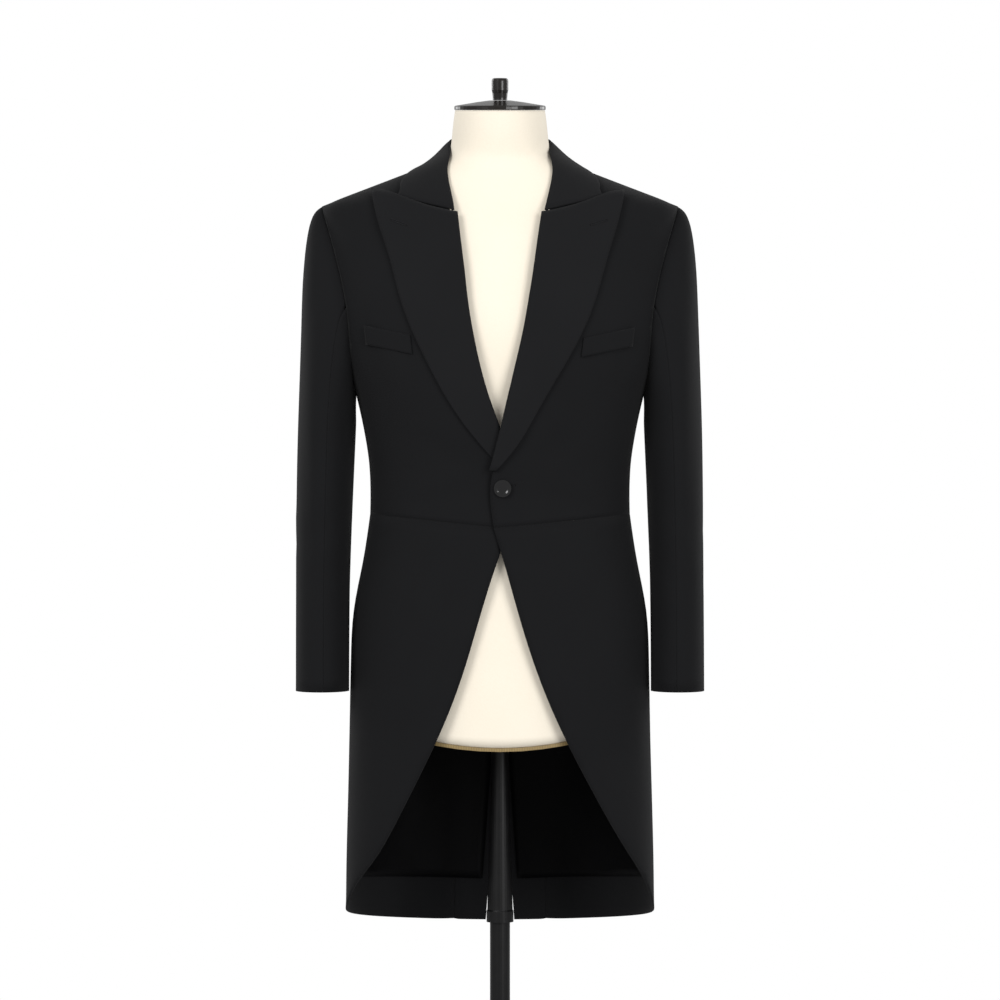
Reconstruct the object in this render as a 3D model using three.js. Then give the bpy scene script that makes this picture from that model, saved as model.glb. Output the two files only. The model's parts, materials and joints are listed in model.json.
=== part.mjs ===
// Morning coat on a limbless dress form with a pole stand.
// Millimetres, +Z up, +X to the wearer's left, -Y to the front, origin under the middle of the base.
//
// The coat's body is one smooth skin: a stack of level rings given by a short table. A place on it is
// (phi, z): phi is 0 at the centre front, 90 at the side and on the shoulder ridge, 180 at the centre
// back. Each panel is a four-sided patch between its seams on that skin, given a cloth wall.

import * as THREE from 'three';

// ---------- driving dimensions ----------

const CLOTH = 2.0;              // wall of a body panel
const LINING = 1.0;             // wall of the lining
const LAPEL = 2.2;              // wall of the lapels and the collar, cloth doubled
const SEAM_GAP = 0.25;          // each panel stops this far short of its seam line
const LAY_GAP = 1.0;            // a layer lies this far above the one it covers
const COLLAR_EASE = 1.4;        // the collar's fall stands off a little more
const ROLL_WIDTH = 3.6;         // what the rolled edge of lapel and collar takes from the front
const SHOULDER_Z = 1405;        // shoulder point
const SHOULDER_X = 231;
const NECK_Z = 1467;            // neck point
const NECK_X = 72;
const ARMHOLE_Z = 1282.5;       // centre of the armhole
const ARMHOLE_RISE = 122.5;     // half its height
const ARMHOLE_FRONT = 62;       // its reach to the front and the back
const ARMHOLE_BACK = 68;
const ARMHOLE_EGG = 0.38;       // how much fuller it is below
const BREAK_Z = 1060;           // where the roll line meets the front edge
const GORGE_Z = 1393;           // where the gorge seam meets the roll line
const LAP_LIFT = 3.2;           // the left front rides this far over the right front
const LAPEL_LIFT = 8.2;         // and this far where it crosses the right lapel
const CUFF_Z = 777;             // sleeve hem
const BICEPS_Z = 1120;          // end of the sleeve head
const VENT_Z = 716;             // top of the open centre vent
const VENT_HALF = 19;           // half the vent's opening at the hem
const LINING_TOP = 845;
const LINING_GAP = 2.1;          // the lining hangs this far inside the cloth
const TURN_UP = 56;             // hem turned up below the lining
const BUTTON_RADIUS = 11;
const BASE_RADIUS = 200;
const BASE_THICK = 12;
const POLE_RADIUS = 13;
const SLEEVE_END_Z = 475;       // lower end of the tapered pole sleeve
const FORM_BOTTOM = 708;        // front of the form's lower edge
const FORM_RISE = 34;           // the edge is higher at the sides
const TRIM_HEIGHT = 4.5;
const CAP_Z = 1528.5;           // top of the neck
const CAP_Y = -12;
const CAP_LEAN = 0.1;           // forward slope of the neck's top

// ---------- tables ----------

// Rings of the coat: height, half width, depth to front and back of the side line, squareness, side line.
const COAT_COLUMNS = ['z', 'half', 'front', 'back', 'square', 'side'];
const COAT_RINGS = [
  [450, 201.5, 143, 154, 2.3, 2],
  [555, 200, 139, 150, 2.3, 2],
  [633, 198, 136, 147, 2.3, 2],
  [711, 196, 134, 144, 2.3, 1],
  [834, 194, 132, 138, 2.3, 0],
  [880, 193, 131, 133, 2.3, 0],
  [905, 190, 130, 129, 2.3, 0],
  [932, 182, 128, 123, 2.3, 0],
  [951, 175.5, 126, 118, 2.3, 0],
  [990, 170, 122, 110, 2.3, 0],
  [1030, 168.7, 121, 107, 2.3, 0],
  [1068, 170, 125, 108, 2.3, 0],
  [1107, 175.5, 131, 114, 2.35, 0],
  [1137, 181.5, 136, 118, 2.4, 0],
  [1160, 187, 139, 121, 2.4, 0],
  [1183, 196, 140, 123, 2.4, 0],
  [1231, 209, 137, 123, 2.4, 0],
  [1286, 216, 129, 119, 2.4, 0],
  [1332, 221, 118, 113, 2.45, 0],
  [1369, 226, 103, 104, 2.5, 0],
  [1405, 231, 86, 92, 2.5, 0],
  [1440, 141, 68, 82, 2.3, 3],
  [1467, 72, 64, 73, 2.1, 5],
  [1489, 67, 66, 68, 2.1, 4],
  [1510, 64.5, 68, 60, 2.1, 2],
];

// Rings of the dress form, from the hips to the top of the neck, with the forward lean of each.
const FORM_COLUMNS = ['z', 'half', 'front', 'back', 'square', 'side', 'lean'];
const FORM_RINGS = [
  [708, 170, 118, 120, 2.3, 0, 0],
  [760, 177, 121, 127, 2.3, 0, 0],
  [834, 181, 121, 127, 2.3, 0, 0],
  [905, 177, 118, 118, 2.3, 0, 0],
  [951, 164, 114, 107, 2.3, 0, 0],
  [1030, 156, 109, 96, 2.3, 0, 0],
  [1107, 164, 119, 103, 2.35, 0, 0],
  [1160, 176, 128, 111, 2.4, 0, 0],
  [1231, 190, 127, 112, 2.4, 0, 0],
  [1286, 200, 119, 108, 2.4, 0, 0],
  [1332, 207, 107, 102, 2.45, 0, 0],
  [1369, 212, 93, 93, 2.5, 0, 0],
  [1394, 212, 81, 85, 2.5, 0, 0],
  [1409, 203, 75, 81, 2.45, 0, 0],
  [1425, 169, 68, 79, 2.3, 0, 0],
  [1440, 130, 62, 75, 2.2, 1, 0],
  [1455, 89, 58, 70, 2.1, 2, 0],
  [1466, 66.5, 57, 66, 2.05, 2, 0],
  [1490, 63, 62, 61, 2, -1, 0.04],
  [1512, 61, 60, 58, 2, -7, 0.08],
  [CAP_Z, 58.5, 57, 57, 2, CAP_Y, CAP_LEAN],
];

// Front edge, roll line and lapel edge: height, and distance from the centre on each side. A number
// below zero lies past the centre, where the fronts lap.
const FRONT_EDGE = [
  [987, -8, -12],
  [1004, -10.5, -13],
  [1036, -14.6, -14],
  [1060, -9, -9],
];
const ROLL_LINE = [
  [1060, -12.6, -12.6],
  [1119, 2.5, 1.5],
  [1143, 7.6, 11.4],
  [1162, 12.6, 17.7],
  [1200, 21.5, 27.8],
  [1238, 30.4, 35.5],
  [1276, 36.8, 41.8],
  [1315, 43.2, 45.7],
  [1354, 48.4, 50.9],
  [1393, 54.3, 55.3],
];
const LAPEL_EDGE = [
  [1060, -7, -7],
  [1074, 8.9, 8.9],
  [1098, 25.3, 28.6],
  [1134, 45.6, 56.3],
  [1172, 68.4, 78.5],
  [1204, 87.5, 95],
  [1232, 102.8, 108.7],
  [1277, 120.8, 125.9],
  [1334, 136.5, 140],
  [1376, 149.5, 154.6],
  [1417, 159, 164],
];
const CUTAWAY = [
  [987, -8, -12],
  [972, -2.5, -8],
  [952, 1.8, -2],
  [941, 5.2, 5.4],
  [923, 11.4, 11.4],
  [896, 19, 20],
  [858, 28.5, 30.4],
  [820, 40.5, 40.5],
  [782, 54.4, 53],
  [744, 71, 68],
  [715, 84.8, 80],
  [643, 121.7, 117.5],
  [580, 159, 148],
  [545, 180, 169],
];

// Top edge of the lapel from the roll line by the notch to the peak: distance out, height.
const LAPEL_TOP = [
  [54.3, 1390.5],
  [98, 1399],
  [127, 1409],
  [142, 1415],
  [161, 1417],
];

// Collar sections from the centre back to the gorge: the fold's crest, the foot of the stand and the
// outer edge of the fall, each as phi and height on the skin.
const COLLAR_COLUMNS = ['crestPhi', 'crestZ', 'footPhi', 'footZ', 'edgePhi', 'edgeZ'];
const COLLAR_SECTIONS = [
  [180, 1502, 180, 1467.6, 180, 1451],
  [158, 1501.5, 158, 1467.6, 161, 1451],
  [135, 1500, 135, 1467.6, 143, 1452],
  [110, 1495, 110, 1467.6, 117, 1454],
  [90, 1489, 90, 1467.6, 92, 1457.5],
  [62, 1473, 68, 1463.8, 59, 1443],
  [38, 1452, 41, 1452.4, 44, 1427],
  [21.5, 1427, 23, 1427.6, 37, 1418],
  [14.2, GORGE_Z, 15.1, GORGE_Z, 34.8, 1411.5],
];

// Side-back seam from the waist to the armhole and the pleat below it: height, phi or distance out.
const SIDE_BACK = [
  [1014, 163.5],
  [1060, 162.5],
  [1130, 158],
  [1200, 149],
];
const PLEAT_TOP_X = 48;
const PLEAT_HEM_X = 62;

// Sections of the sleeve below its head: height, middle, half width, half depth.
const SLEEVE_COLUMNS = ['z', 'middleX', 'middleY', 'halfX', 'halfY'];
const SLEEVE_SECTIONS = [
  [1120, 225, 1, 38.3, 75],
  [1088, 226.2, 0, 37.7, 74],
  [1010, 227.5, -5, 36.4, 69],
  [932, 229.2, -13, 34.8, 62],
  [850, 229.4, -23, 34.7, 57],
  [CUFF_Z, 229.3, -31, 34.7, 53],
];

const WELTS = {
  left: { inner: [106, 1228], outer: [171, 1243] },
  right: { inner: [114, 1232], outer: [173, 1245.5] },
};
const WELT_HEIGHT = 24;

// ---------- small mathematics ----------

const RAD = Math.PI / 180;
const mix = (a, b, t) => a + (b - a) * t;
const clamp = (v, lo, hi) => Math.min(hi, Math.max(lo, v));

function smooth(from, to, v) {
  const t = clamp((v - from) / (to - from), 0, 1);
  return t * t * (3 - 2 * t);
}

// Monotone cubic through the rows of a table, read at one value of its first column.
function readTable(rows, column, at) {
  const up = rows[rows.length - 1][0] > rows[0][0];
  const list = up ? rows : [...rows].reverse();
  const last = list.length - 1;
  const x = clamp(at, list[0][0], list[last][0]);
  let i = 0;
  while (i < last - 1 && x > list[i + 1][0]) i += 1;
  const slope = (k) => (list[k + 1][column] - list[k][column]) / (list[k + 1][0] - list[k][0]);
  const tangent = (k) => {
    if (k === 0) return slope(0);
    if (k === last) return slope(last - 1);
    const before = slope(k - 1);
    const after = slope(k);
    return before * after <= 0 ? 0 : (2 * before * after) / (before + after);
  };
  const width = list[i + 1][0] - list[i][0];
  const t = (x - list[i][0]) / width;
  const a = list[i][column];
  const b = list[i + 1][column];
  const turnA = tangent(i) * width;
  const turnB = tangent(i + 1) * width;
  const t2 = t * t;
  const t3 = t2 * t;
  return a * (2 * t3 - 3 * t2 + 1) + turnA * (t3 - 2 * t2 + t) + b * (3 * t2 - 2 * t3) + turnB * (t3 - t2);
}

function readRing(rows, columns, z) {
  const ring = {};
  columns.slice(1).forEach((name, k) => { ring[name] = readTable(rows, k + 1, z); });
  return ring;
}

// Points spaced evenly along a polyline of [a, b] pairs.
function spread(points, count) {
  const lengths = [0];
  for (let k = 1; k < points.length; k += 1) {
    const step = Math.hypot(points[k][0] - points[k - 1][0], points[k][1] - points[k - 1][1]);
    lengths.push(lengths[k - 1] + step);
  }
  const total = lengths[lengths.length - 1];
  return Array.from({ length: count + 1 }, (_, n) => {
    const at = (total * n) / count;
    let k = 1;
    while (k < lengths.length - 1 && lengths[k] < at) k += 1;
    const t = (at - lengths[k - 1]) / (lengths[k] - lengths[k - 1]);
    return [mix(points[k - 1][0], points[k][0], t), mix(points[k - 1][1], points[k][1], t)];
  });
}

// ---------- the skin of the coat ----------

function ringPoint(ring, phi, z) {
  const s = Math.sin(phi * RAD);
  const c = Math.cos(phi * RAD);
  const reach = (Math.abs(s) ** ring.square + Math.abs(c) ** ring.square) ** (1 / ring.square);
  const depth = c > 0 ? ring.front : ring.back;
  const y = ring.side - (depth * c) / reach;
  return new THREE.Vector3((ring.half * s) / reach, y, z + (ring.lean ?? 0) * y);
}

function coatRing(z) {
  const ring = readRing(COAT_RINGS, COAT_COLUMNS, z);
  if (z >= SHOULDER_Z && z <= NECK_Z) {
    ring.half = mix(SHOULDER_X, NECK_X, (z - SHOULDER_Z) / (NECK_Z - SHOULDER_Z));
  }
  return ring;
}

const skinPoint = (phi, z) => ringPoint(coatRing(z), phi, z);

function skinNormal(phi, z) {
  const d = 0.5;
  const around = skinPoint(phi + d, z).sub(skinPoint(phi - d, z));
  const low = z > SHOULDER_Z - d && z < SHOULDER_Z + d ? SHOULDER_Z : z - d;
  const up = skinPoint(phi, low + 2 * d).sub(skinPoint(phi, low));
  return around.cross(up).normalize();
}

// phi of the place at distance x from the centre and height z, on the front or the back.
function phiAt(x, z, back = false) {
  let lo = 0;
  let hi = 90;
  for (let n = 0; n < 40; n += 1) {
    const middle = (lo + hi) / 2;
    if (skinPoint(middle, z).x < Math.abs(x)) lo = middle;
    else hi = middle;
  }
  const phi = Math.sign(x || 1) * lo;
  return back ? 180 - phi : phi;
}

// phi of the place level with y at height z.
function phiLevel(y, z) {
  let lo = 0;
  let hi = 180;
  for (let n = 0; n < 40; n += 1) {
    const middle = (lo + hi) / 2;
    if (skinPoint(middle, z).y < y) lo = middle;
    else hi = middle;
  }
  return lo;
}

// How far the left front stands off where it laps over the right one.
function lapLift(side, x, z) {
  if (side < 0) return 0;
  const height = mix(LAP_LIFT, LAPEL_LIFT, smooth(1030, 1058, z));
  const across = 1 - smooth(17, 48, x);
  return height * across * (1 - smooth(1126, 1190, z)) * mix(0.3, 1, smooth(880, 940, z));
}

// A place on the skin, a given distance out from it, on the wearer's left (1) or right (-1) side.
function coatPoint(side, phi, z, out) {
  const p = skinPoint(phi, z);
  const lift = phi < 60 ? lapLift(side, p.x, z) : 0;
  p.addScaledVector(skinNormal(phi, z), out + lift);
  p.x *= side;
  return p;
}

const column = (side) => (side > 0 ? 1 : 2);
const waistZ = (phi) => {
  const behind = Math.max(phi - 90, 0) / 73;
  return 987.5 + 18.5 * Math.sin(Math.min(phi, 90) * RAD) + 8 * behind * behind;
};
const hemZ = (phi) => mix(496, 461, Math.sin(clamp((phi - 84) / 96, 0, 1) * 90 * RAD) ** 0.85);

function armholePlace(psi) {
  const z = ARMHOLE_Z + ARMHOLE_RISE * Math.cos(psi * RAD);
  const reach = psi <= 180 ? -ARMHOLE_FRONT : -ARMHOLE_BACK;
  const y = reach * Math.sin(psi * RAD) * (1 - ARMHOLE_EGG * Math.cos(psi * RAD));
  return [phiLevel(y, z), z];
}

// ---------- solids ----------

function solidFrom(vertices, faces) {
  let volume = 0;
  const cross = new THREE.Vector3();
  for (const [a, b, c] of faces) volume += vertices[a].dot(cross.crossVectors(vertices[b], vertices[c]));
  const index = faces.flatMap(([a, b, c]) => (volume > 0 ? [a, b, c] : [a, c, b]));
  const geometry = new THREE.BufferGeometry();
  geometry.setAttribute('position', new THREE.Float32BufferAttribute(vertices.flatMap((v) => v.toArray()), 3));
  geometry.setIndex(index);
  geometry.computeVertexNormals();
  return geometry;
}

// A closed sheet between two grids of points, one on each side of the cloth.
function sheetSolid(outer, inner) {
  const rows = outer.length;
  const cols = outer[0].length;
  const vertices = [...outer.flat(), ...inner.flat()];
  const half = rows * cols;
  const at = (j, i) => j * cols + i;
  const faces = [];
  const quad = (a, b, c, d) => faces.push([a, b, c], [a, c, d]);
  for (let j = 0; j < rows - 1; j += 1) {
    for (let i = 0; i < cols - 1; i += 1) {
      quad(at(j, i), at(j, i + 1), at(j + 1, i + 1), at(j + 1, i));
      quad(half + at(j, i), half + at(j + 1, i), half + at(j + 1, i + 1), half + at(j, i + 1));
    }
  }
  for (let i = 0; i < cols - 1; i += 1) {
    const top = rows - 1;
    quad(at(0, i + 1), at(0, i), half + at(0, i), half + at(0, i + 1));
    quad(at(top, i), at(top, i + 1), half + at(top, i + 1), half + at(top, i));
  }
  for (let j = 0; j < rows - 1; j += 1) {
    const end = cols - 1;
    quad(at(j, 0), at(j + 1, 0), half + at(j + 1, 0), half + at(j, 0));
    quad(at(j + 1, end), at(j, end), half + at(j, end), half + at(j + 1, end));
  }
  return solidFrom(vertices, faces);
}

// A closed solid through a stack of rings, with flat or gently domed ends.
function ringSolid(rings) {
  const count = rings[0].length;
  const vertices = rings.flat();
  const faces = [];
  for (let j = 0; j < rings.length - 1; j += 1) {
    for (let i = 0; i < count; i += 1) {
      const next = (i + 1) % count;
      faces.push([j * count + i, j * count + next, (j + 1) * count + next]);
      faces.push([j * count + i, (j + 1) * count + next, (j + 1) * count + i]);
    }
  }
  const centre = (ring) => ring.reduce((sum, p) => sum.add(p), new THREE.Vector3()).divideScalar(count);
  const bottom = vertices.length;
  vertices.push(centre(rings[0]), centre(rings[rings.length - 1]));
  const lastRing = (rings.length - 1) * count;
  for (let i = 0; i < count; i += 1) {
    const next = (i + 1) % count;
    faces.push([bottom, next, i]);
    faces.push([bottom + 1, lastRing + i, lastRing + next]);
  }
  return solidFrom(vertices, faces);
}

// Centre surface given a wall of a set thickness, with normals from the grid itself.
function wallSolid(grid, thickness) {
  const rows = grid.length;
  const cols = grid[0].length;
  const shifted = (amount) => grid.map((row, j) => row.map((p, i) => {
    const along = row[Math.min(i + 1, cols - 1)].clone().sub(row[Math.max(i - 1, 0)]);
    const up = grid[Math.min(j + 1, rows - 1)][i].clone().sub(grid[Math.max(j - 1, 0)][i]);
    return p.clone().addScaledVector(along.cross(up).normalize(), amount);
  }));
  return sheetSolid(shifted(thickness / 2), shifted(-thickness / 2));
}

// Four boundary lines blended into a patch of places: bottom and top run the same way, left and right up.
// A higher hold keeps the bends of bottom and top near those two lines.
function patch(bottom, top, left, right, hold = 1) {
  const nu = bottom.length - 1;
  const nv = left.length - 1;
  return left.map((_, j) => bottom.map((__, i) => {
    const u = i / nu;
    const v = j / nv;
    return [0, 1].map((k) => {
      const bendBelow = bottom[i][k] - mix(bottom[0][k], bottom[nu][k], u);
      const bendAbove = top[i][k] - mix(top[0][k], top[nu][k], u);
      return mix(left[j][k], right[j][k], u) + (1 - v) ** hold * bendBelow + v ** hold * bendAbove;
    });
  }));
}

// Draws a patch in from its four sides by the seam gap, measured on the skin.
function inset(places, gap = SEAM_GAP) {
  const rows = places.length - 1;
  const cols = places[0].length - 1;
  const toward = (from, to) => {
    const length = skinPoint(...from).distanceTo(skinPoint(...to));
    const t = Math.min(gap / Math.max(length, 1e-6), 0.4);
    return [mix(from[0], to[0], t), mix(from[1], to[1], t)];
  };
  const sideways = places.map((row) => row.map((place, i) => {
    if (i === 0) return toward(place, row[1]);
    return i === cols ? toward(place, row[cols - 1]) : place;
  }));
  return sideways.map((row, j) => row.map((place, i) => {
    if (j === 0) return toward(place, sideways[1][i]);
    return j === rows ? toward(place, sideways[rows - 1][i]) : place;
  }));
}

function panelSolid(side, places, outside = 0, wall = CLOTH) {
  const layer = (out) => places.map((row) => row.map(([phi, z]) => coatPoint(side, phi, z, out)));
  return sheetSolid(layer(outside), layer(outside - wall));
}

// ---------- seams ----------

const ARM_STEP = 12;            // degrees between places round the armhole
const SIDE_ROWS = 7;            // rows of the side seams from waist to armhole
const SKIRT_ROWS = 9;           // rows from waist to hem
const FRONT_COLS = 8;
const BACK_SEAM_PSI = 264;      // where the side-back seam meets the armhole

const armholeRun = (from, to) => {
  const count = Math.abs(to - from) / ARM_STEP;
  return Array.from({ length: count + 1 }, (_, n) => armholePlace(mix(from, to, n / count)));
};
const runOf = (count, at) => Array.from({ length: count + 1 }, (_, n) => at(n / count));
const waistRun = (from, to, count) => runOf(count, (t) => {
  const phi = mix(from, to, t);
  return [phi, waistZ(phi)];
});

const UNDERARM_WAIST = 96;
const SIDE_BACK_WAIST = phiAt(PLEAT_TOP_X, 1014, true);
const underarmSeam = runOf(SIDE_ROWS, (t) => [
  mix(UNDERARM_WAIST, 90, smooth(0, 1, t)),
  mix(waistZ(UNDERARM_WAIST), ARMHOLE_Z - ARMHOLE_RISE, t),
]);

function sideBackSeam() {
  const [topPhi, topZ] = armholePlace(BACK_SEAM_PSI);
  const rows = [...SIDE_BACK.map(([z, phi]) => [z, phi]), [topZ, topPhi]];
  rows[0] = [waistZ(SIDE_BACK_WAIST), SIDE_BACK_WAIST];
  return runOf(SIDE_ROWS, (t) => {
    const z = mix(rows[0][0], topZ, t);
    return [readTable(rows, 1, z), z];
  });
}

const pleatLine = runOf(SKIRT_ROWS, (t) => {
  const topZ = waistZ(SIDE_BACK_WAIST);
  const z = mix(hemZ(156), topZ, t);
  return [phiAt(mix(PLEAT_HEM_X, PLEAT_TOP_X, t), z, true), z];
});

const shoulderRun = (count) => runOf(count, (t) => [90, mix(NECK_Z, SHOULDER_Z, t)]);

// The front's own edge: up the front, along the rolled lapel and the collar's foot to the neck point.
function frontBoundary(side) {
  const k = column(side);
  const low = runOf(3, (t) => {
    const z = mix(waistZ(0), BREAK_Z, t);
    return [phiAt(readTable(FRONT_EDGE, k, z), z), z];
  });
  const roll = runOf(12, (t) => {
    const z = mix(BREAK_Z + 6, GORGE_Z, t);
    return [phiAt(readTable(ROLL_LINE, k, z) + ROLL_WIDTH, z), z];
  });
  const neck = COLLAR_SECTIONS.slice(4, 8).reverse().map((row) => [row[2], row[3] - 0.6]);
  const [bottom, top] = [[...low, ...roll], neck];
  return [...bottom, ...top];
}

// ---------- pieces of the coat ----------

function frontPanel(side) {
  const right = [...underarmSeam, ...armholeRun(180, 0).slice(1)];
  const edge = frontBoundary(side);
  const low = edge.filter(([, z]) => z < 1150);
  const high = edge.filter(([, z]) => z >= 1150);
  const scaled = (points, count) => spread(points.map(([phi, z]) => [phi * 2.4, z]), count)
    .map(([a, z]) => [a / 2.4, z]);
  const left = [
    ...scaled([...low, high[0]], SIDE_ROWS),
    ...scaled(high, right.length - 1 - SIDE_ROWS).slice(1),
  ];
  const bottom = waistRun(left[0][0], UNDERARM_WAIST, FRONT_COLS);
  bottom[0] = left[0];
  return panelSolid(side, inset(patch(bottom, shoulderRun(FRONT_COLS), left, right)));
}

function sideBody(side) {
  const top = armholeRun(180, BACK_SEAM_PSI);
  const bottom = waistRun(UNDERARM_WAIST, SIDE_BACK_WAIST, top.length - 1);
  return panelSolid(side, inset(patch(bottom, top, underarmSeam, sideBackSeam())));
}

function backPanel(side) {
  const centre = (z) => {
    const open = VENT_HALF * clamp((VENT_Z - z) / (VENT_Z - 462), 0, 1.1);
    return [phiAt(open, z, true), z];
  };
  const waist = waistZ(180);
  const armpitRow = 1290;
  const left = [
    ...runOf(SKIRT_ROWS, (t) => centre(mix(hemZ(175), waist, t))),
    ...runOf(SIDE_ROWS, (t) => centre(mix(waist, armpitRow, t))).slice(1),
    ...runOf(8, (t) => centre(mix(armpitRow, NECK_Z, t))).slice(1),
  ];
  const right = [...pleatLine, ...sideBackSeam().slice(1), ...armholeRun(BACK_SEAM_PSI, 360).slice(1)];
  const neck = runOf(4, (t) => [mix(180, 90, t), NECK_Z]);
  const top = [...neck, ...shoulderRun(4).slice(1)];
  const bottom = runOf(8, (t) => {
    const phi = mix(left[0][0], right[0][0], t);
    return [phi, hemZ(phi)];
  });
  left[0] = bottom[0];
  bottom[8] = right[0];
  return panelSolid(side, inset(patch(bottom, top, left, right, 5)));
}

function skirt(side) {
  const k = column(side);
  const corner = side > 0 ? [84, 500] : [83, 499];
  const edge = CUTAWAY.map((row) => {
    const z = row[0];
    return [phiAt(row[k], z), z];
  });
  edge[0] = [phiAt(readTable(FRONT_EDGE, k, waistZ(0)), waistZ(0)), waistZ(0)];
  const bend = side > 0 ? [79, 516] : [77, 517];
  const downward = spread([...edge, bend, corner].map(([phi, z]) => [phi * 3, z]), SKIRT_ROWS);
  const left = downward.map(([a, z]) => [a / 3, z]).reverse();
  const front = waistRun(left[SKIRT_ROWS][0], UNDERARM_WAIST, FRONT_COLS);
  front[0] = left[SKIRT_ROWS];
  const top = [...front, ...waistRun(UNDERARM_WAIST, SIDE_BACK_WAIST, 7).slice(1)];
  const cols = top.length - 1;
  const bottom = runOf(cols, (t) => {
    const phi = mix(corner[0], pleatLine[0][0], t ** 0.9);
    return [phi, hemZ(phi)];
  });
  bottom[0] = left[0];
  bottom[cols] = pleatLine[0];
  return panelSolid(side, inset(patch(bottom, top, left, pleatLine)));
}

function tailLining(side) {
  const k = column(side);
  const backFrom = (z) => phiAt(Math.max(VENT_HALF * clamp((VENT_Z - z) / 254, 0, 1), 2) + 9, z, true);
  const low = 461 + TURN_UP;
  const rows = 8;
  const left = runOf(rows, (t) => {
    const z = mix(low + 26, LINING_TOP, t);
    return [Math.min(phiAt(readTable(CUTAWAY, k, Math.max(z, 548)) + 4, z) + 20, 102), z];
  });
  const right = runOf(rows, (t) => {
    const z = mix(low, LINING_TOP + 18, t);
    return [backFrom(z), z];
  });
  const bottom = runOf(11, (t) => [mix(left[0][0], right[0][0], t), mix(low + 26, low, t ** 0.6)]);
  const top = runOf(11, (t) => [mix(left[rows][0], right[rows][0], t), mix(LINING_TOP, LINING_TOP + 18, t)]);
  return panelSolid(side, patch(bottom, top, left, right), -CLOTH - LINING_GAP, LINING);
}

// The lapel rolls over from the front's edge: columns across it give the distance past the roll line and
// the height over the skin, and then it lies on the front to its own edge.
function lapel(side) {
  const k = column(side);
  const roll = [[3.0, -1.0], [0.9, -0.9], [0, 0.6], [1.6, 2.1]];
  const lying = LAY_GAP + LAPEL / 2;
  const rows = 12;
  const topEdge = LAPEL_TOP.map(([x, z], n) => {
    const at = n === 0 ? ROLL_LINE[ROLL_LINE.length - 1][k] : x + (side > 0 ? -2.5 : 2.5) * (n / 4);
    return [at, z + (side > 0 ? -1 : 1) * (n / 4)];
  });
  const foot = (t) => mix(BREAK_Z + 2, GORGE_Z - 2.5, t);
  const left = runOf(rows, (t) => [readTable(ROLL_LINE, k, foot(t)) + 5, foot(t)]);
  const right = runOf(rows, (t) => {
    const z = mix(BREAK_Z + 2, topEdge[4][1], t);
    return [Math.max(readTable(LAPEL_EDGE, k, z), readTable(ROLL_LINE, k, z) + 6.5), z];
  });
  const top = spread([left[rows], ...topEdge.slice(1)], 6);
  right[rows] = top[6];
  const bottom = runOf(6, (t) => [mix(left[0][0], right[0][0], t), mix(left[0][1], right[0][1], t)]);
  const laid = patch(bottom, top, left, right);
  const grid = laid.map((row, j) => {
    const z = row[0][1];
    const rolled = roll.map(([past, out]) => {
      const phi = phiAt(readTable(ROLL_LINE, k, z) + past, z);
      return coatPoint(side, phi, z, out);
    });
    const flat = row.map(([x, height]) => {
      const shoulderEase = 4.6 * smooth(1335, 1395, height) * smooth(70, 120, x);
      return coatPoint(side, phiAt(x, height), height, lying + shoulderEase);
    });
    return [...rolled, ...flat];
  });
  return wallSolid(grid, LAPEL);
}

// The collar: stand, fold and fall. The fall runs straight from the fold to its edge, but never
// under the skin it lies on.
function collar() {
  const half = COLLAR_SECTIONS.map((row) => Object.fromEntries(COLLAR_COLUMNS.map((n, k) => [n, row[k]])));
  const lying = LAY_GAP + LAPEL / 2 + COLLAR_EASE;
  const section = (side, s) => {
    const crest = coatPoint(side, s.crestPhi, s.crestZ, 0.6);
    const foot = coatPoint(side, s.footPhi, s.footZ, -1);
    const edge = coatPoint(side, s.edgePhi, s.edgeZ, lying);
    const inward = foot.clone().lerp(crest, 0.5);
    const turn = coatPoint(side, mix(s.crestPhi, s.edgePhi, 0.05), mix(s.crestZ, s.edgeZ, 0.05), 2.4);
    const fall = [0.3, 0.55, 0.8].map((t) => {
      const straight = turn.clone().lerp(edge, t);
      const phi = mix(s.crestPhi, s.edgePhi, mix(0.05, 1, t));
      const z = mix(s.crestZ, s.edgeZ, mix(0.05, 1, t));
      const laid = coatPoint(side, phi, z, lying);
      const normal = skinNormal(phi, z);
      normal.x *= side;
      return straight.clone().sub(laid).dot(normal) > 0 ? straight : laid;
    });
    return [foot, inward, crest, turn, ...fall, edge];
  };
  const right = half.map((s) => section(-1, s)).reverse();
  const left = half.slice(1).map((s) => section(1, s));
  return wallSolid([...right, ...left], LAPEL);
}

function breastWelt(side) {
  const { inner, outer } = side > 0 ? WELTS.left : WELTS.right;
  const across = (t, drop) => {
    const x = mix(inner[0], outer[0], t) - drop * 0.12;
    const z = mix(inner[1], outer[1], t) - drop;
    return [phiAt(x, z), z];
  };
  const rows = [WELT_HEIGHT, WELT_HEIGHT / 2, 0].map((drop) => runOf(4, (t) => across(t, drop)));
  return panelSolid(side, rows, 1.7, 1.0);
}

// ---------- sleeves ----------

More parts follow.
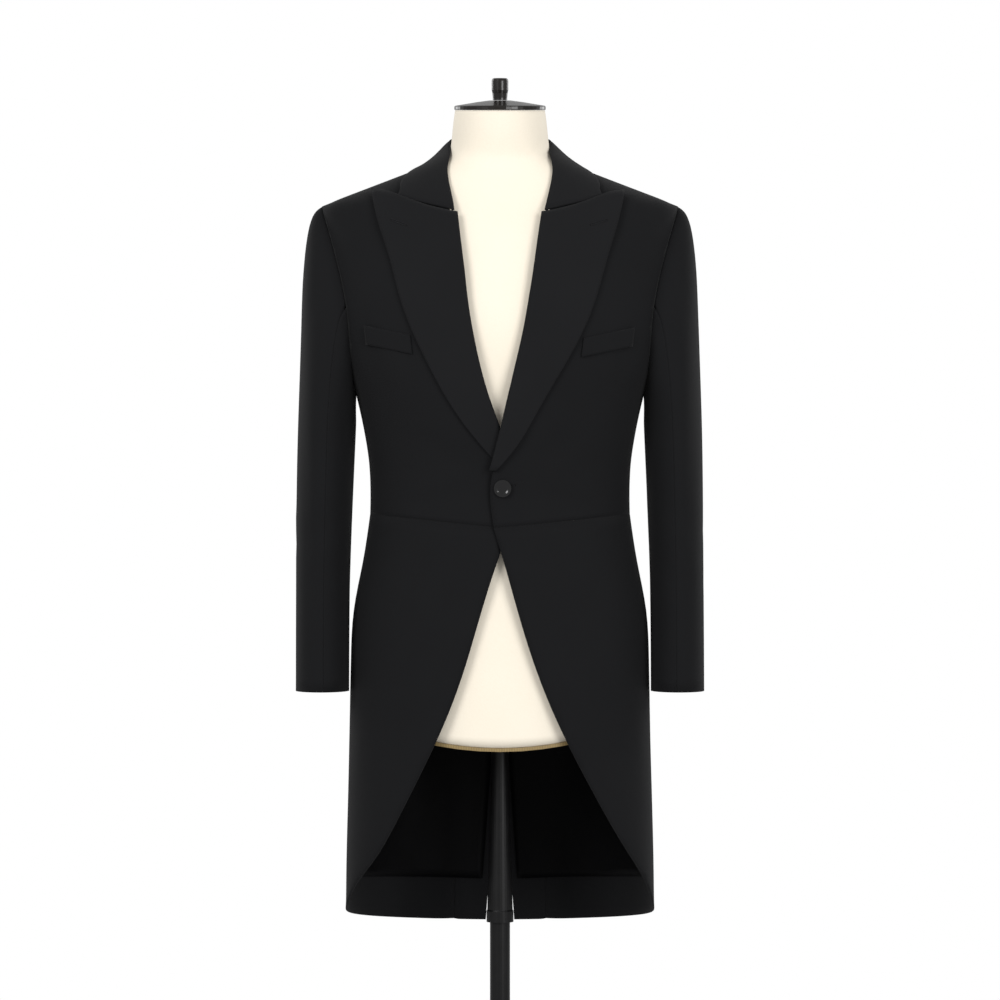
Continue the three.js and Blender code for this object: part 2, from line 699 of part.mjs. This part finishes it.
function sleevePoint(side, psi, row, headRows) {
  const c = Math.cos(psi * RAD);
  const s = Math.sin(psi * RAD);
  const section = (z) => readRing(SLEEVE_SECTIONS, SLEEVE_COLUMNS, z);
  const onArm = (z) => {
    const arm = section(z);
    return new THREE.Vector3(arm.middleX + arm.halfX * c, arm.middleY - arm.halfY * s, z);
  };
  let p;
  if (row > headRows) {
    const rest = SLEEVE_SECTIONS.length - 1;
    const z = mix(BICEPS_Z, CUFF_Z, (row - headRows) / rest);
    p = onArm(z);
  } else {
    const t = row / headRows;
    const start = skinPoint(...armholePlace(psi));
    const end = onArm(BICEPS_Z);
    const upper = (1 + c) / 2;
    const out = start.clone().add(new THREE.Vector3(14 + 13 * c, -16 * s, 7 * c - 3));
    const above = end.clone().add(new THREE.Vector3(-6.5 * upper, 0, 12 + 178 * upper ** 1.4));
    const curve = new THREE.CubicBezierCurve3(start, out, above, end);
    p = curve.getPoint(Math.max(t, 0.004));
  }
  p.x *= side;
  return p;
}

function sleevePart(side, fromPsi, toPsi) {
  const headRows = 6;
  const rows = headRows + SLEEVE_SECTIONS.length - 1;
  const count = (toPsi - fromPsi) / ARM_STEP;
  const wrap = (psi) => ((psi % 360) + 360) % 360;
  const grid = Array.from({ length: rows + 1 }, (_, j) => {
    const line = Array.from({ length: count + 1 }, (__, i) => {
      return sleevePoint(side, wrap(fromPsi + i * ARM_STEP), j, headRows);
    });
    const ends = [[0, 1], [count, count - 1]];
    const moved = ends.map(([at, next]) => {
      const gap = line[next].clone().sub(line[at]);
      return line[at].clone().addScaledVector(gap.normalize(), SEAM_GAP);
    });
    ends.forEach(([at], n) => { line[at] = moved[n]; });
    return line;
  });
  const inner = grid.map((row, j) => row.map((p, i) => {
    const psi = fromPsi + i * ARM_STEP;
    const ahead = sleevePoint(side, wrap(psi + ARM_STEP), j, headRows);
    const along = ahead.sub(sleevePoint(side, wrap(psi - ARM_STEP), j, headRows));
    const down = grid[Math.min(j + 1, rows)][i].clone().sub(grid[Math.max(j - 1, 0)][i]);
    const normal = along.cross(down).normalize();
    return p.clone().addScaledVector(normal, -side * CLOTH);
  }));
  return sheetSolid(grid, inner);
}

// ---------- buttons, form and stand ----------

function turned(profile, segments = 40) {
  const points = profile.map(([radius, height]) => new THREE.Vector2(radius, height));
  const geometry = new THREE.LatheGeometry(points, segments);
  geometry.rotateX(Math.PI / 2);
  return geometry;
}

// Button with a raised rim and a dished face, turned about +Z with its back at zero.
const buttonSolid = (radius) => turned([
  [0, 0],
  [radius * 0.8, 0],
  [radius, 1.2],
  [radius, 2.6],
  [radius * 0.9, 3.4],
  [radius * 0.72, 3.2],
  [radius * 0.55, 2.2],
  [0, 2.0],
], 28);

function seatButton(mesh, side, phi, z, out) {
  const place = coatPoint(side, phi, z, out);
  const normal = skinNormal(phi, z);
  normal.x *= side;
  mesh.position.copy(place);
  mesh.quaternion.setFromUnitVectors(new THREE.Vector3(0, 0, 1), normal);
}

const FORM_SIDES = 40;

function formRing(z, drop = 0, shrink = 0) {
  const ring = readRing(FORM_RINGS, FORM_COLUMNS, z);
  ring.half -= shrink;
  ring.front -= shrink;
  ring.back -= shrink;
  return Array.from({ length: FORM_SIDES }, (_, n) => {
    const phi = (360 * n) / FORM_SIDES;
    const p = ringPoint({ ...ring, lean: 0 }, phi, z);
    p.z += ring.lean * (p.y - ring.side) - drop;
    return p;
  });
}

// The lower edge of the form sweeps up from front and back to the sides.
function sweptRing(drop, shrink) {
  const ring = formRing(FORM_BOTTOM, drop, shrink);
  ring.forEach((p, n) => {
    const s = Math.sin((2 * Math.PI * n) / FORM_SIDES);
    p.z += FORM_RISE * s * s;
  });
  return ring;
}

function formTorso() {
  const heights = FORM_RINGS.slice(1).map((row) => row[0]);
  const between = [796, 870, 990, 1070, 1260];
  const levels = [...heights, ...between].sort((a, b) => a - b);
  return ringSolid([sweptRing(0, 0), ...levels.map((z) => formRing(z))]);
}

function formTrim() {
  const loops = [sweptRing(0.3, -0.6), sweptRing(TRIM_HEIGHT + 0.3, -0.6), sweptRing(TRIM_HEIGHT + 0.3, 3), sweptRing(0.3, 3)];
  const vertices = loops.flat();
  const faces = [];
  for (let k = 0; k < 4; k += 1) {
    for (let i = 0; i < FORM_SIDES; i += 1) {
      const next = (i + 1) % FORM_SIDES;
      const a = k * FORM_SIDES;
      const b = ((k + 1) % 4) * FORM_SIDES;
      faces.push([a + i, a + next, b + next], [a + i, b + next, b + i]);
    }
  }
  return solidFrom(vertices, faces);
}

const neckCap = () => turned([
  [0, 0.3],
  [58.6, 0.3],
  [59.3, 1.2],
  [59.3, 4.6],
  [58, 5.8],
  [30, 10.5],
  [14, 12.6],
  [0, 12.6],
], 48);

const capKnob = () => turned([
  [0, 12.9],
  [9.4, 12.9],
  [9.4, 16],
  [9.9, 22],
  [10.8, 26],
  [10.8, 38],
  [10, 40.4],
  [8, 41.4],
  [0, 41.6],
], 32);

const poleSleeve = (top) => turned([
  [0, SLEEVE_END_Z],
  [17.5, SLEEVE_END_Z],
  [17.5, SLEEVE_END_Z + 14],
  [16.5, SLEEVE_END_Z + 16],
  [11, top],
  [0, top],
], 32);

const pole = () => turned([
  [0, BASE_THICK + 10.3],
  [POLE_RADIUS, BASE_THICK + 10.3],
  [POLE_RADIUS, SLEEVE_END_Z - 0.3],
  [0, SLEEVE_END_Z - 0.3],
], 32);

const base = () => turned([
  [0, 0],
  [BASE_RADIUS - 1.5, 0],
  [BASE_RADIUS, 1.5],
  [BASE_RADIUS, BASE_THICK - 3],
  [BASE_RADIUS - 3, BASE_THICK],
  [30, BASE_THICK],
  [24, BASE_THICK + 10],
  [0, BASE_THICK + 10],
], 64);

// ---------- the whole ----------

const finishes = {
  wool: { color: 0x1c1d20, roughness: 0.9, metalness: 0 },
  lapelWool: { color: 0x212226, roughness: 0.85, metalness: 0 },
  lining: { color: 0x050506, roughness: 0.45, metalness: 0 },
  button: { color: 0x08080a, roughness: 0.2, metalness: 0 },
  canvas: { color: 0xf3e6cd, roughness: 0.85, metalness: 0 },
  trim: { color: 0x8a6c3a, roughness: 0.5, metalness: 0.3 },
  cap: { color: 0x0e0b0a, roughness: 0.35, metalness: 0 },
  blackMetal: { color: 0x08080a, roughness: 0.35, metalness: 0.6 },
};

const group = new THREE.Group();

function add(name, geometry, finish) {
  const mesh = new THREE.Mesh(geometry, new THREE.MeshStandardMaterial(finishes[finish]));
  mesh.name = name;
  group.add(mesh);
  return mesh;
}

for (const [side, word] of [[1, 'left'], [-1, 'right']]) {
  add(`front_${word}`, frontPanel(side), 'wool');
  add(`side_body_${word}`, sideBody(side), 'wool');
  add(`back_${word}`, backPanel(side), 'wool');
  add(`skirt_${word}`, skirt(side), 'wool');
  add(`lapel_${word}`, lapel(side), 'lapelWool');
  add(`top_sleeve_${word}`, sleevePart(side, -108, 96), 'wool');
  add(`under_sleeve_${word}`, sleevePart(side, 96, 252), 'wool');
  add(`tail_lining_${word}`, tailLining(side), 'lining');
  add(`breast_welt_${word}`, breastWelt(side), 'wool');
  const hipButton = add(`back_button_${word}`, buttonSolid(BUTTON_RADIUS * 0.95), 'button');
  seatButton(hipButton, side, phiAt(PLEAT_TOP_X, 1012, true), 1012, 1.6);
}
add('collar', collar(), 'lapelWool');

const frontButton = add('front_button', buttonSolid(BUTTON_RADIUS), 'button');
seatButton(frontButton, 1, phiAt(3.2, 1038), 1038, 1.6);

add('form_torso', formTorso(), 'canvas');
add('form_trim', formTrim(), 'trim');
add('pole_sleeve', poleSleeve(FORM_BOTTOM + FORM_RISE / 2 - 2.2), 'blackMetal');
add('pole', pole(), 'blackMetal');
add('base', base(), 'blackMetal');

for (const [name, geometry] of [['neck_cap', neckCap()], ['cap_knob', capKnob()]]) {
  const mesh = add(name, geometry, 'cap');
  mesh.position.set(0, CAP_Y, CAP_Z);
  mesh.rotation.x = Math.atan(CAP_LEAN);
}

export default group;
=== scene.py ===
import json
import bmesh
import bpy
import numpy as np
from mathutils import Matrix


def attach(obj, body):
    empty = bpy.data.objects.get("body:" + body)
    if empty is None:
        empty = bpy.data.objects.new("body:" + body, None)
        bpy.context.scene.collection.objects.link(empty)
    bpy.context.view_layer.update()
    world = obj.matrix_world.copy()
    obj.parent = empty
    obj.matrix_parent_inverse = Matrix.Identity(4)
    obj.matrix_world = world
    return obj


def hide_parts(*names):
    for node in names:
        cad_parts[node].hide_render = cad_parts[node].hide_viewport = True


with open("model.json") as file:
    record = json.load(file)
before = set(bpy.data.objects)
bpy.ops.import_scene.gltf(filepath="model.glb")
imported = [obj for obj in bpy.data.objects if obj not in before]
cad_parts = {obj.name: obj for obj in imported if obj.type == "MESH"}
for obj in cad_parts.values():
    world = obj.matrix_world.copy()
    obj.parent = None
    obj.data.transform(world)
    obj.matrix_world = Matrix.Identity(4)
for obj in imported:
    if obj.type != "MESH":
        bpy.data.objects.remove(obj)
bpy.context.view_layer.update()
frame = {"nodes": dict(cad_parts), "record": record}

# Morning coat on a dress form, in metres. +Z up, +X to the wearer's left, -Y to the front.

CAMERA_DISTANCE = 5.0
CAMERA_HEIGHT = 1.023
VIEW_WIDTH = 1.3
SENSOR = 36.0

# Soft folds, given one by one: start and end in x and z, half width, depth, and the half of the coat they lie on.
FOLD_COLUMNS = ("x0", "z0", "x1", "z1", "width", "depth", "faces")
BODY_FOLDS = np.array([
    [-0.040, 0.930, -0.125, 0.760, 0.016, 0.0026, -1],
    [-0.070, 0.950, -0.160, 0.800, 0.013, 0.0018, -1],
    [-0.100, 0.900, -0.150, 0.640, 0.020, 0.0022, -1],
    [0.050, 0.900, 0.110, 0.780, 0.017, 0.0016, -1],
    [0.120, 0.880, 0.170, 0.620, 0.021, 0.0020, -1],
    [-0.030, 1.040, -0.120, 1.010, 0.012, 0.0016, -1],
    [0.040, 1.035, 0.130, 1.012, 0.011, 0.0014, -1],
    [-0.045, 1.065, -0.110, 1.110, 0.014, 0.0013, -1],
    [0.045, 1.065, 0.100, 1.120, 0.015, 0.0012, -1],
    [-0.150, 1.150, -0.175, 1.270, 0.014, 0.0020, -1],
    [0.148, 1.160, 0.176, 1.260, 0.015, 0.0019, -1],
    [-0.120, 0.930, -0.100, 0.560, 0.022, 0.0024, 1],
    [0.115, 0.920, 0.130, 0.540, 0.025, 0.0021, 1],
    [0.150, 0.900, 0.165, 0.600, 0.018, 0.0017, 1],
    [-0.150, 0.880, -0.160, 0.620, 0.019, 0.0019, 1],
    [-0.120, 1.200, -0.150, 1.300, 0.018, 0.0020, 1],
    [0.115, 1.190, 0.152, 1.310, 0.020, 0.0018, 1],
    [-0.030, 1.030, -0.090, 1.015, 0.011, 0.0012, 1],
    [0.025, 1.045, 0.085, 1.025, 0.012, 0.0013, 1],
])
SLEEVE_FOLDS = np.array([
    [-0.262, 1.300, -0.240, 0.800, 0.010, 0.0020, -1],
    [0.258, 1.310, 0.238, 0.820, 0.011, 0.0018, -1],
    [-0.200, 1.010, -0.262, 0.960, 0.014, 0.0022, -1],
    [0.203, 1.020, 0.262, 0.975, 0.013, 0.0019, -1],
    [-0.200, 0.940, -0.258, 0.915, 0.012, 0.0015, -1],
    [0.204, 0.930, 0.260, 0.900, 0.015, 0.0016, -1],
    [-0.262, 1.050, -0.205, 0.990, 0.015, 0.0021, 1],
    [0.262, 1.040, 0.207, 0.985, 0.014, 0.0018, 1],
    [-0.222, 1.360, -0.240, 1.250, 0.009, 0.0013, -1],
    [0.224, 1.358, 0.241, 1.240, 0.010, 0.0012, -1],
])


# ---------- shader writing ----------

class Value:
    """A socket whose arithmetic adds Math nodes."""

    def __init__(self, tree, socket):
        self.tree = tree
        self.socket = socket

    def _math(self, operation, *inputs):
        node = self.tree.nodes.new("ShaderNodeMath")
        node.operation = operation
        for slot, item in zip(node.inputs, inputs):
            if isinstance(item, Value):
                self.tree.links.new(item.socket, slot)
            else:
                slot.default_value = item
        return Value(self.tree, node.outputs[0])

    def __add__(self, other):
        return self._math("ADD", self, other)

    def __mul__(self, other):
        return self._math("MULTIPLY", self, other)

    def __sub__(self, other):
        return self._math("SUBTRACT", self, other)

    def __rsub__(self, other):
        return self._math("SUBTRACT", other, self)

    def __pow__(self, other):
        return self._math("POWER", self, other)

    __radd__ = __add__
    __rmul__ = __mul__

    def sine(self):
        return self._math("SINE", self)


class Finish:
    """One procedural material on a Principled shader, patterned on Object coordinates."""

    def __init__(self, name, roughness, **constants):
        self.material = bpy.data.materials.new(name)
        self.material.use_nodes = True
        self.tree = self.material.node_tree
        self.shader = self.tree.nodes["Principled BSDF"]
        self.shader.inputs["Roughness"].default_value = roughness
        for socket, value in constants.items():
            self.shader.inputs[socket.replace("_", " ")].default_value = value
        self.place = self.node("ShaderNodeTexCoord").outputs["Object"]

    def node(self, kind, settings=(), **inputs):
        """Adds a node of a type, with its settings first and then its inputs."""
        node = self.tree.nodes.new(kind)
        for key, value in dict(settings).items():
            setattr(node, key, value)
        for key, value in inputs.items():
            socket = node.inputs[key.replace("_", " ")]
            if isinstance(value, Value):
                value = value.socket
            if isinstance(value, bpy.types.NodeSocket):
                self.tree.links.new(value, socket)
            else:
                socket.default_value = value
        return node

    def noise(self, scale, detail=3.0, rough=0.5):
        made = self.node("ShaderNodeTexNoise", Vector=self.place, Scale=scale, Detail=detail, Roughness=rough)
        return Value(self.tree, made.outputs["Fac"])

    def axis(self, which):
        made = self.node("ShaderNodeSeparateXYZ", Vector=self.place)
        return Value(self.tree, made.outputs[which])

    def colour(self, dark, pale, mask):
        """Base colour between two tones by a mask from 0 to 1."""
        mixed = self.tree.nodes.new("ShaderNodeMix")
        mixed.data_type = "RGBA"
        self.tree.links.new(mask.socket, mixed.inputs[0])
        mixed.inputs[6].default_value = (*dark, 1)
        mixed.inputs[7].default_value = (*pale, 1)
        self.tree.links.new(mixed.outputs[2], self.shader.inputs["Base Color"])

    def rough(self, value):
        self.tree.links.new(value.socket, self.shader.inputs["Roughness"])

    def bump(self, height, strength, distance):
        made = self.node("ShaderNodeBump", Strength=strength, Distance=distance, Height=height)
        self.tree.links.new(made.outputs["Normal"], self.shader.inputs["Normal"])


def wool(name, dark, pale, sheen):
    """Fine twill: diagonal ribs from the sine of height plus distance round, broken up by noise, with a nap."""
    finish = Finish(name, 0.85, Sheen_Weight=sheen, Sheen_Roughness=0.5, Specular_IOR_Level=0.08)
    rib = ((finish.axis("X") + finish.axis("Y") + finish.axis("Z")) * 4200.0).sine() * 0.5 + 0.5
    slub = finish.noise(900.0, 4.0, 0.6)
    cloud = finish.noise(9.0, 2.0)
    finish.colour(dark, pale, rib * 0.25 + slub * 0.45 + cloud * 0.3)
    finish.rough(slub * 0.14 + 0.76)
    finish.bump(rib * 0.5 + slub, 0.35, 0.0004)
    return finish.material


def satin():
    """Black lining: a fine cross weave with soft gloss."""
    finish = Finish("lining satin", 0.5, Specular_IOR_Level=0.06)
    weave = (finish.axis("Z") * 5200.0).sine() * (finish.axis("X") * 5200.0).sine()
    cloud = finish.noise(22.0, 3.0)
    finish.colour((0.0008, 0.0008, 0.0010), (0.0020, 0.0020, 0.0024), cloud)
    finish.rough(cloud * 0.16 + 0.36)
    finish.bump(weave * 0.2 + cloud, 0.2, 0.0008)
    return finish.material


def canvas():
    """Linen canvas: plain weave from crossed sines, with slubs and a little yellowing."""
    finish = Finish("linen canvas", 0.85, Sheen_Weight=0.12, Sheen_Roughness=0.5, Specular_IOR_Level=0.25)
    weave = (finish.axis("Z") * 3600.0).sine() * (finish.axis("X") * 3600.0).sine() * 0.5 + 0.5
    slub = finish.noise(420.0, 4.0, 0.6)
    cloud = finish.noise(7.0, 2.0)
    finish.colour((0.86, 0.765, 0.615), (0.96, 0.905, 0.79), weave * 0.25 + slub * 0.35 + cloud * 0.4)
    finish.rough(slub * 0.12 + 0.78)
    finish.bump(weave * 0.6 + slub, 0.3, 0.0005)
    return finish.material


def gloss(name, dark, pale, roughness, coat):
    """Hard black finish with faint wear in its gloss."""
    finish = Finish(name, roughness, Coat_Weight=coat, Coat_Roughness=0.08, Specular_IOR_Level=0.25)
    wear = finish.noise(60.0, 5.0, 0.6)
    finish.colour(dark, pale, wear)
    finish.rough(wear * 0.12 + roughness)
    finish.bump(wear, 0.05, 0.0003)
    return finish.material


def tape():
    """Woven gold-brown tape: ribs across a narrow band."""
    finish = Finish("edge tape", 0.55, Sheen_Weight=0.1)
    rib = ((finish.axis("X") * 3000.0).sine()) * 0.5 + 0.5
    finish.colour((0.10, 0.062, 0.02), (0.42, 0.30, 0.12), rib * 0.6 + finish.noise(300.0) * 0.4)
    finish.bump(rib, 0.4, 0.0004)
    return finish.material


MATERIALS = {
    "wool": wool("coat wool", (0.0050, 0.0051, 0.0056), (0.0112, 0.0114, 0.0125), 0.035),
    # The lapel wool is the coat wool painted lighter in both tones: a painted highlight for the light the lapels
    # catch.
    "lapel_wool": wool("lapel wool painted highlight", (0.0062, 0.0063, 0.0069), (0.0132, 0.0134, 0.0146), 0.045),
    "lining": satin(),
    "canvas": canvas(),
    "button": gloss("black horn", (0.0025, 0.0025, 0.0028), (0.007, 0.007, 0.0075), 0.12, 0.5),
    "cap": gloss("neck cap black", (0.004, 0.0028, 0.002), (0.010, 0.007, 0.005), 0.22, 0.4),
    "stand_metal": gloss("stand black", (0.002, 0.002, 0.0022), (0.006, 0.006, 0.0064), 0.34, 0.0),
    "trim": tape(),
}


# ---------- cloth pieces ----------

SHARP_TURN = 1.2                # edges that turn more than this are the cut edges of the cloth
THICKEST_WALL = 0.0026
SEAM_CLOSE = 0.00021            # how far each cut edge moves out to meet its neighbour


def fold_depth(points, folds):
    """Depth of all folds at each point: a Gaussian across each fold's line, fading in towards both ends."""
    x, y, z = points.T
    total = np.zeros(len(points))
    for x0, z0, x1, z1, width, depth, faces in folds:
        dx, dz = x1 - x0, z1 - z0
        length = np.hypot(dx, dz)
        along = ((x - x0) * dx + (z - z0) * dz) / length**2
        across = ((x - x0) * dz - (z - z0) * dx) / length
        fade = np.clip(np.sin(np.pi * np.clip(along, 0, 1)), 0, 1) ** 0.7
        half = np.clip(faces * y / 0.02 + 0.5, 0, 1)
        ridge = 0.45 * np.exp(-(((across - 1.7 * width) / width) ** 2))
        total += depth * fade * half * (ridge - np.exp(-((across / width) ** 2)))
    return total


def close_rims(cloth):
    """Keeps the cut edges crisp, and moves each rim face out along its own normal so that seams close."""
    edge_hold = cloth.edges.layers.float.get("crease_edge") or cloth.edges.layers.float.new("crease_edge")
    sharp = {edge for edge in cloth.edges if edge.calc_face_angle(0) > SHARP_TURN}
    for edge in sharp:
        edge[edge_hold] = 1.0
    moves = {}
    for face in cloth.faces:
        thin = min(edge.calc_length() for edge in face.edges) < THICKEST_WALL
        if thin and sum(edge in sharp for edge in face.edges) >= 2:
            for corner in face.verts:
                moves.setdefault(corner, []).append(face.normal.copy())
    for corner, normals in moves.items():
        ways = []
        for normal in normals:
            if all(normal.dot(way) < 0.8 for way in ways):
                ways.append(normal)
        for way in ways:
            corner.co += way * SEAM_CLOSE


def refined(node, levels):
    """The node's own form, welded, turned to four-sided faces and smoothed by subdivision."""
    source = frame["nodes"][node]
    mesh = source.data.copy()
    welded = bmesh.new()
    welded.from_mesh(mesh)
    bmesh.ops.remove_doubles(welded, verts=welded.verts, dist=2e-6)
    bmesh.ops.join_triangles(welded, faces=welded.faces, angle_face_threshold=1.2,
                             angle_shape_threshold=2.6, cmp_seam=False, cmp_sharp=False,
                             cmp_uvs=False, cmp_vcols=False, cmp_materials=False)
    close_rims(welded)
    welded.to_mesh(mesh)
    welded.free()
    rough = bpy.data.objects.new(node + "_rough", mesh)
    bpy.context.scene.collection.objects.link(rough)
    smoother = rough.modifiers.new("smooth", "SUBSURF")
    smoother.levels = levels
    smoother.render_levels = levels
    evaluated = rough.evaluated_get(bpy.context.evaluated_depsgraph_get())
    fine = bpy.data.meshes.new_from_object(evaluated)
    bpy.data.objects.remove(rough)
    return fine


def cloth_piece(node, name, folds, levels=2):
    """A thin shell on its solid's form, pressed in by the folds along the level direction out from the axis."""
    mesh = refined(node, levels)
    count = len(mesh.vertices)
    points = np.empty(count * 3)
    mesh.vertices.foreach_get("co", points)
    points = points.reshape(-1, 3)
    if folds is not None:
        centre_x = np.sign(points[:, 0].mean()) * 0.229 if "sleeve" in node else 0.0
        out = np.stack([points[:, 0] - centre_x, points[:, 1] * 1.6, np.zeros(count)], axis=1)
        out /= np.maximum(np.linalg.norm(out, axis=1, keepdims=True), 1e-6)
        points = points + out * fold_depth(points, folds)[:, None]
        mesh.vertices.foreach_set("co", points.ravel())
    mesh.polygons.foreach_set("use_smooth", np.ones(len(mesh.polygons), dtype=bool))
    mesh.update()
    piece = bpy.data.objects.new(name, mesh)
    bpy.context.scene.collection.objects.link(piece)
    slot = SLOTS[node]
    mesh.materials.clear()
    mesh.materials.append(MATERIALS[slot])
    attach(piece, "root")
    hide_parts(node)
    return piece


SLOTS = {part["node"]: part["material_slot"] for part in frame["record"]["subparts"]}

for word in ("left", "right"):
    for kind in ("front", "side_body", "back", "skirt"):
        cloth_piece(f"{kind}_{word}", f"{kind}_cloth_{word}", BODY_FOLDS)
    for kind in ("top_sleeve", "under_sleeve"):
        cloth_piece(f"{kind}_{word}", f"{kind}_cloth_{word}", SLEEVE_FOLDS)
    cloth_piece(f"lapel_{word}", f"lapel_cloth_{word}", None)
    cloth_piece(f"breast_welt_{word}", f"welt_cloth_{word}", None)
    cloth_piece(f"tail_lining_{word}", f"lining_cloth_{word}", BODY_FOLDS)
cloth_piece("collar", "collar_cloth", None)
form = cloth_piece("form_torso", "form_canvas", None, 2)



def worked_buttonhole(name, cloth, start, end, slot):
    """Thread round a slit: a tube carried along a long loop with round ends, rippled by its stitches."""
    count, sides = 160, 8
    turn = np.linspace(0, 2 * np.pi, count, endpoint=False)
    start, end = np.array(start), np.array(end)
    way = (end - start) / np.linalg.norm(end - start)
    across = np.array([-way[1], way[0]])
    half = np.linalg.norm(end - start) / 2
    along = np.clip(1.35 * np.cos(turn), -1, 1) * half
    aside = HOLE_HALF_WIDTH * np.sign(np.sin(turn)) * np.abs(np.sin(turn)) ** 0.5
    flat = (start + end) / 2 + along[:, None] * way + aside[:, None] * across
    depths = [cloth.ray_cast((x, -1, z), (0, 1, 0))[1].y for x, z in flat]
    path = np.stack([flat[:, 0], np.array(depths), flat[:, 1]], axis=1)
    ahead = np.roll(path, -1, axis=0) - np.roll(path, 1, axis=0)
    ahead /= np.linalg.norm(ahead, axis=1, keepdims=True)
    out = np.cross(ahead, np.array([0.0, 1.0, 0.0]))
    out /= np.linalg.norm(out, axis=1, keepdims=True)
    up = np.cross(out, ahead)
    radius = THREAD_RADIUS * (1 + 0.22 * np.sin(turn * 44))
    angle = np.linspace(0, 2 * np.pi, sides, endpoint=False)
    ring = out[:, None] * np.cos(angle)[:, None] + up[:, None] * np.sin(angle)[:, None]
    points = path[:, None] + ring * radius[:, None, None]
    j, i = np.meshgrid(np.arange(count), np.arange(sides), indexing="ij")
    ahead_j, ahead_i = (j + 1) % count, (i + 1) % sides
    faces = np.stack([j * sides + i, j * sides + ahead_i, ahead_j * sides + ahead_i, ahead_j * sides + i], axis=-1)
    mesh = bpy.data.meshes.new(name)
    mesh.from_pydata(points.reshape(-1, 3).tolist(), [], faces.reshape(-1, 4).tolist())
    whole = bmesh.new()
    whole.from_mesh(mesh)
    bmesh.ops.recalc_face_normals(whole, faces=whole.faces)
    whole.to_mesh(mesh)
    whole.free()
    mesh.polygons.foreach_set("use_smooth", np.ones(len(mesh.polygons), dtype=bool))
    mesh.materials.append(MATERIALS[slot])
    thread = bpy.data.objects.new(name, mesh)
    bpy.context.scene.collection.objects.link(thread)
    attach(thread, "root")


HOLE_HALF_WIDTH = 0.0011
THREAD_RADIUS = 0.0006
bpy.context.view_layer.update()
# The lapel buttonholes take the lapel wool, whose lighter tone is a painted highlight.
worked_buttonhole("lapel_hole_right", bpy.data.objects["lapel_cloth_right"], (-0.1393, 1.3808), (-0.1188, 1.3730),
                  "lapel_wool")
worked_buttonhole("lapel_hole_left", bpy.data.objects["lapel_cloth_left"], (0.1152, 1.3735), (0.1367, 1.3808),
                  "lapel_wool")
worked_buttonhole("front_hole", bpy.data.objects["front_cloth_left"], (0.0005, 1.0405), (0.0195, 1.0420), "wool")

for node in ("form_trim", "neck_cap", "cap_knob", "pole_sleeve", "pole", "base",
             "front_button", "back_button_left", "back_button_right"):
    hard = frame["nodes"][node]
    hard.data.materials.clear()
    hard.data.materials.append(MATERIALS[SLOTS[node]])


# ---------- view and light ----------

scene = bpy.context.scene
scene.view_settings.view_transform = "Standard"

lens = bpy.data.cameras.new("camera")
lens.sensor_width = SENSOR
lens.lens = SENSOR * CAMERA_DISTANCE / VIEW_WIDTH
camera = bpy.data.objects.new("camera", lens)
camera.location = (0, -CAMERA_DISTANCE, CAMERA_HEIGHT)
camera.rotation_euler = (np.pi / 2, 0, 0)
scene.collection.objects.link(camera)
scene.camera = camera


def soft_light(name, place, aim, size, power):
    """A square area lamp turned to face a point."""
    lamp = bpy.data.lights.new(name, "AREA")
    lamp.size = size
    lamp.energy = power
    holder = bpy.data.objects.new(name, lamp)
    holder.location = place
    toward = np.array(aim) - np.array(place)
    flat = np.hypot(toward[0], toward[1])
    holder.rotation_euler = (np.pi / 2 + np.arctan2(toward[2], flat), 0, np.arctan2(-toward[0], toward[1]))
    scene.collection.objects.link(holder)


soft_light("key", (-2.6, -3.2, 2.6), (0, 0, 1.05), 1.8, 85)
soft_light("fill", (2.4, -3.4, 1.8), (0, 0, 1.05), 2.0, 85)
soft_light("rim left", (-2.4, 2.2, 2.2), (0, 0, 1.1), 1.5, 20)
soft_light("rim right", (2.4, 2.2, 2.2), (0, 0, 1.1), 1.5, 20)

world = bpy.data.worlds.new("studio")
scene.world = world
world.use_nodes = True
nodes, links = world.node_tree.nodes, world.node_tree.links
background = nodes["Background"]
background.inputs["Color"].default_value = (1, 1, 1, 1)
seen = nodes.new("ShaderNodeLightPath")
either = nodes.new("ShaderNodeMath")
either.operation = "MAXIMUM"
links.new(seen.outputs["Is Camera Ray"], either.inputs[0])
links.new(seen.outputs["Is Transmission Ray"], either.inputs[1])
level = nodes.new("ShaderNodeMapRange")
level.inputs["To Min"].default_value = 0.5
level.inputs["To Max"].default_value = 1.0
links.new(either.outputs[0], level.inputs["Value"])
links.new(level.outputs["Result"], background.inputs["Strength"])
